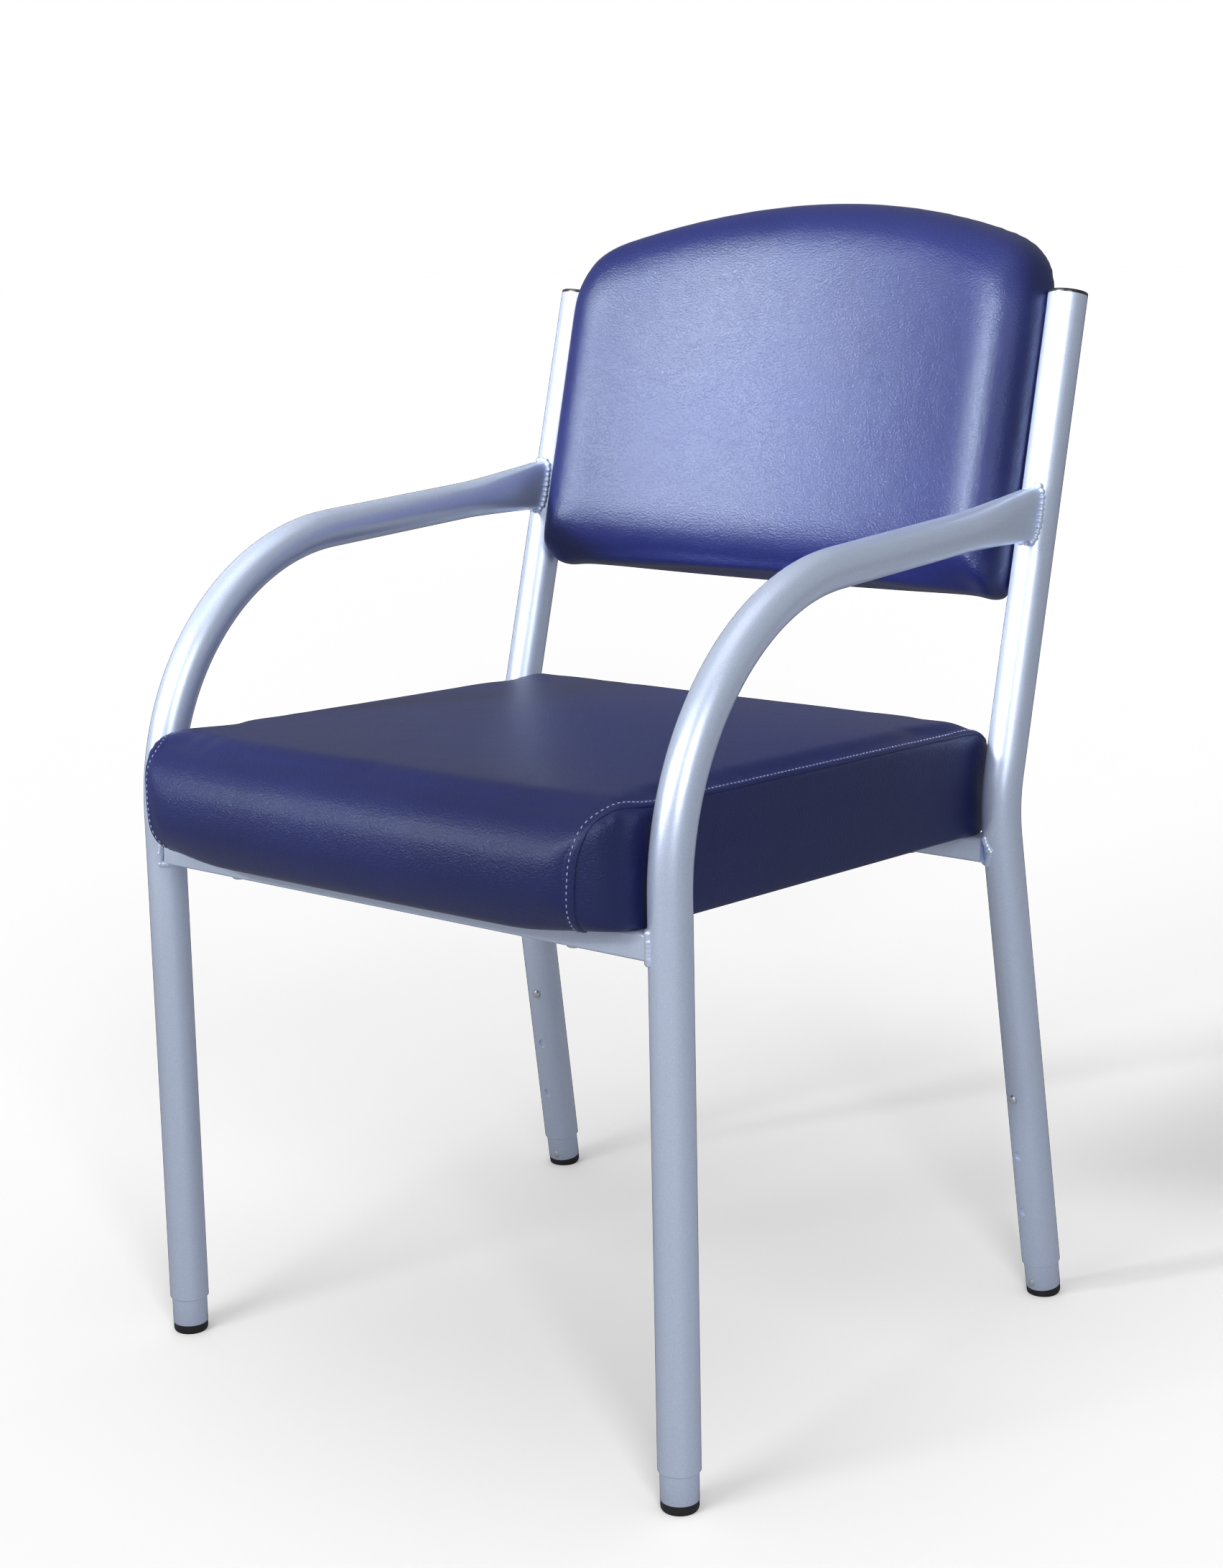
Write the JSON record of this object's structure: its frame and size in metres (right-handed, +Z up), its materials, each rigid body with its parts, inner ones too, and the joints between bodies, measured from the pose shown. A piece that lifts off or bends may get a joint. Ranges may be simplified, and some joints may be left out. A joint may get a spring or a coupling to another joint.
{
  "type": "height-adjustable armchair",
  "caption": "Ward armchair: padded seat and back on a bent steel tube frame with open arms and telescopic legs held by snap buttons.",
  "frame": {"origin": "on the floor, in the middle of the chair's length and width, at the lowest setting", "axes": "+Z up; the chair faces -Y; +X is the sitter's left"},
  "size_m": [0.5732, 0.6552, 0.9272],
  "materials": {
    "silver_paint": "epoxy powder coat, fine metallic silver, satin gloss",
    "leg_paint": "epoxy powder coat, the same silver as the frame",
    "black_plastic": "moulded polythene, glossy",
    "plywood": "birch plywood, unfinished",
    "vinyl": "vinyl-coated upholstery fabric, fine grain, satin",
    "rubber": "moulded black rubber",
    "zinc": "bright zinc plate",
    "spring_steel": "plain spring steel strip"
  },
  "bodies": {
    "frame": {"left_arm_tube": "silver_paint", "right_arm_tube": "silver_paint", "left_post_tube": "silver_paint", "right_post_tube": "silver_paint", "front_rail": "silver_paint", "rear_rail": "silver_paint", "left_post_cap": "black_plastic", "right_post_cap": "black_plastic", "seat_board": "plywood", "seat_cushion": "vinyl", "seat_screws": "zinc", "back_board": "plywood", "back_rear_panel": "vinyl", "back_cushion": "vinyl", "back_brackets": "silver_paint", "back_screws": "zinc"},
    "front_left_extension": {"front_left_leg": "leg_paint", "front_left_foot": "rubber", "front_left_rivet": "zinc", "front_left_clip": "spring_steel"},
    "front_left_snap": {"front_left_button": "zinc"},
    "front_right_extension": {"front_right_leg": "leg_paint", "front_right_foot": "rubber", "front_right_rivet": "zinc", "front_right_clip": "spring_steel"},
    "front_right_snap": {"front_right_button": "zinc"},
    "rear_left_extension": {"rear_left_leg": "leg_paint", "rear_left_foot": "rubber", "rear_left_rivet": "zinc", "rear_left_clip": "spring_steel"},
    "rear_left_snap": {"rear_left_button": "zinc"},
    "rear_right_extension": {"rear_right_leg": "leg_paint", "rear_right_foot": "rubber", "rear_right_rivet": "zinc", "rear_right_clip": "spring_steel"},
    "rear_right_snap": {"rear_right_button": "zinc"}
  },
  "joints": [
    {"name": "front_left_leg_slide", "type": "slide", "parent": "frame", "child": "front_left_extension", "axis": [0.0025, -0.011, -0.9999], "range_m": [0, 0.105], "deforming": ["front_left_button"]},
    {"name": "front_left_button_press", "type": "slide", "parent": "front_left_extension", "child": "front_left_snap", "axis": [0, -0.9999, 0.011], "range_m": [0, 0.0044], "stiffness_N_per_m": 1500, "deforming": ["front_left_clip"]},
    {"name": "front_right_leg_slide", "type": "slide", "parent": "frame", "child": "front_right_extension", "axis": [-0.0025, -0.011, -0.9999], "range_m": [0, 0.105], "deforming": ["front_right_button"]},
    {"name": "front_right_button_press", "type": "slide", "parent": "front_right_extension", "child": "front_right_snap", "axis": [0, -0.9999, 0.011], "range_m": [0, 0.0044], "stiffness_N_per_m": 1500, "deforming": ["front_right_clip"]},
    {"name": "rear_left_leg_slide", "type": "slide", "parent": "frame", "child": "rear_left_extension", "axis": [0.0197, 0.14, -0.99], "range_m": [0, 0.105], "deforming": ["rear_left_button"]},
    {"name": "rear_left_button_press", "type": "slide", "parent": "rear_left_extension", "child": "rear_left_snap", "axis": [0.1899, 0.9716, 0.1412], "range_m": [0, 0.0044], "stiffness_N_per_m": 1500, "deforming": ["rear_left_clip"]},
    {"name": "rear_right_leg_slide", "type": "slide", "parent": "frame", "child": "rear_right_extension", "axis": [-0.0197, 0.14, -0.99], "range_m": [0, 0.105], "deforming": ["rear_right_button"]},
    {"name": "rear_right_button_press", "type": "slide", "parent": "rear_right_extension", "child": "rear_right_snap", "axis": [-0.1899, 0.9716, 0.1412], "range_m": [0, 0.0044], "stiffness_N_per_m": 1500, "deforming": ["rear_right_clip"]}
  ]
}
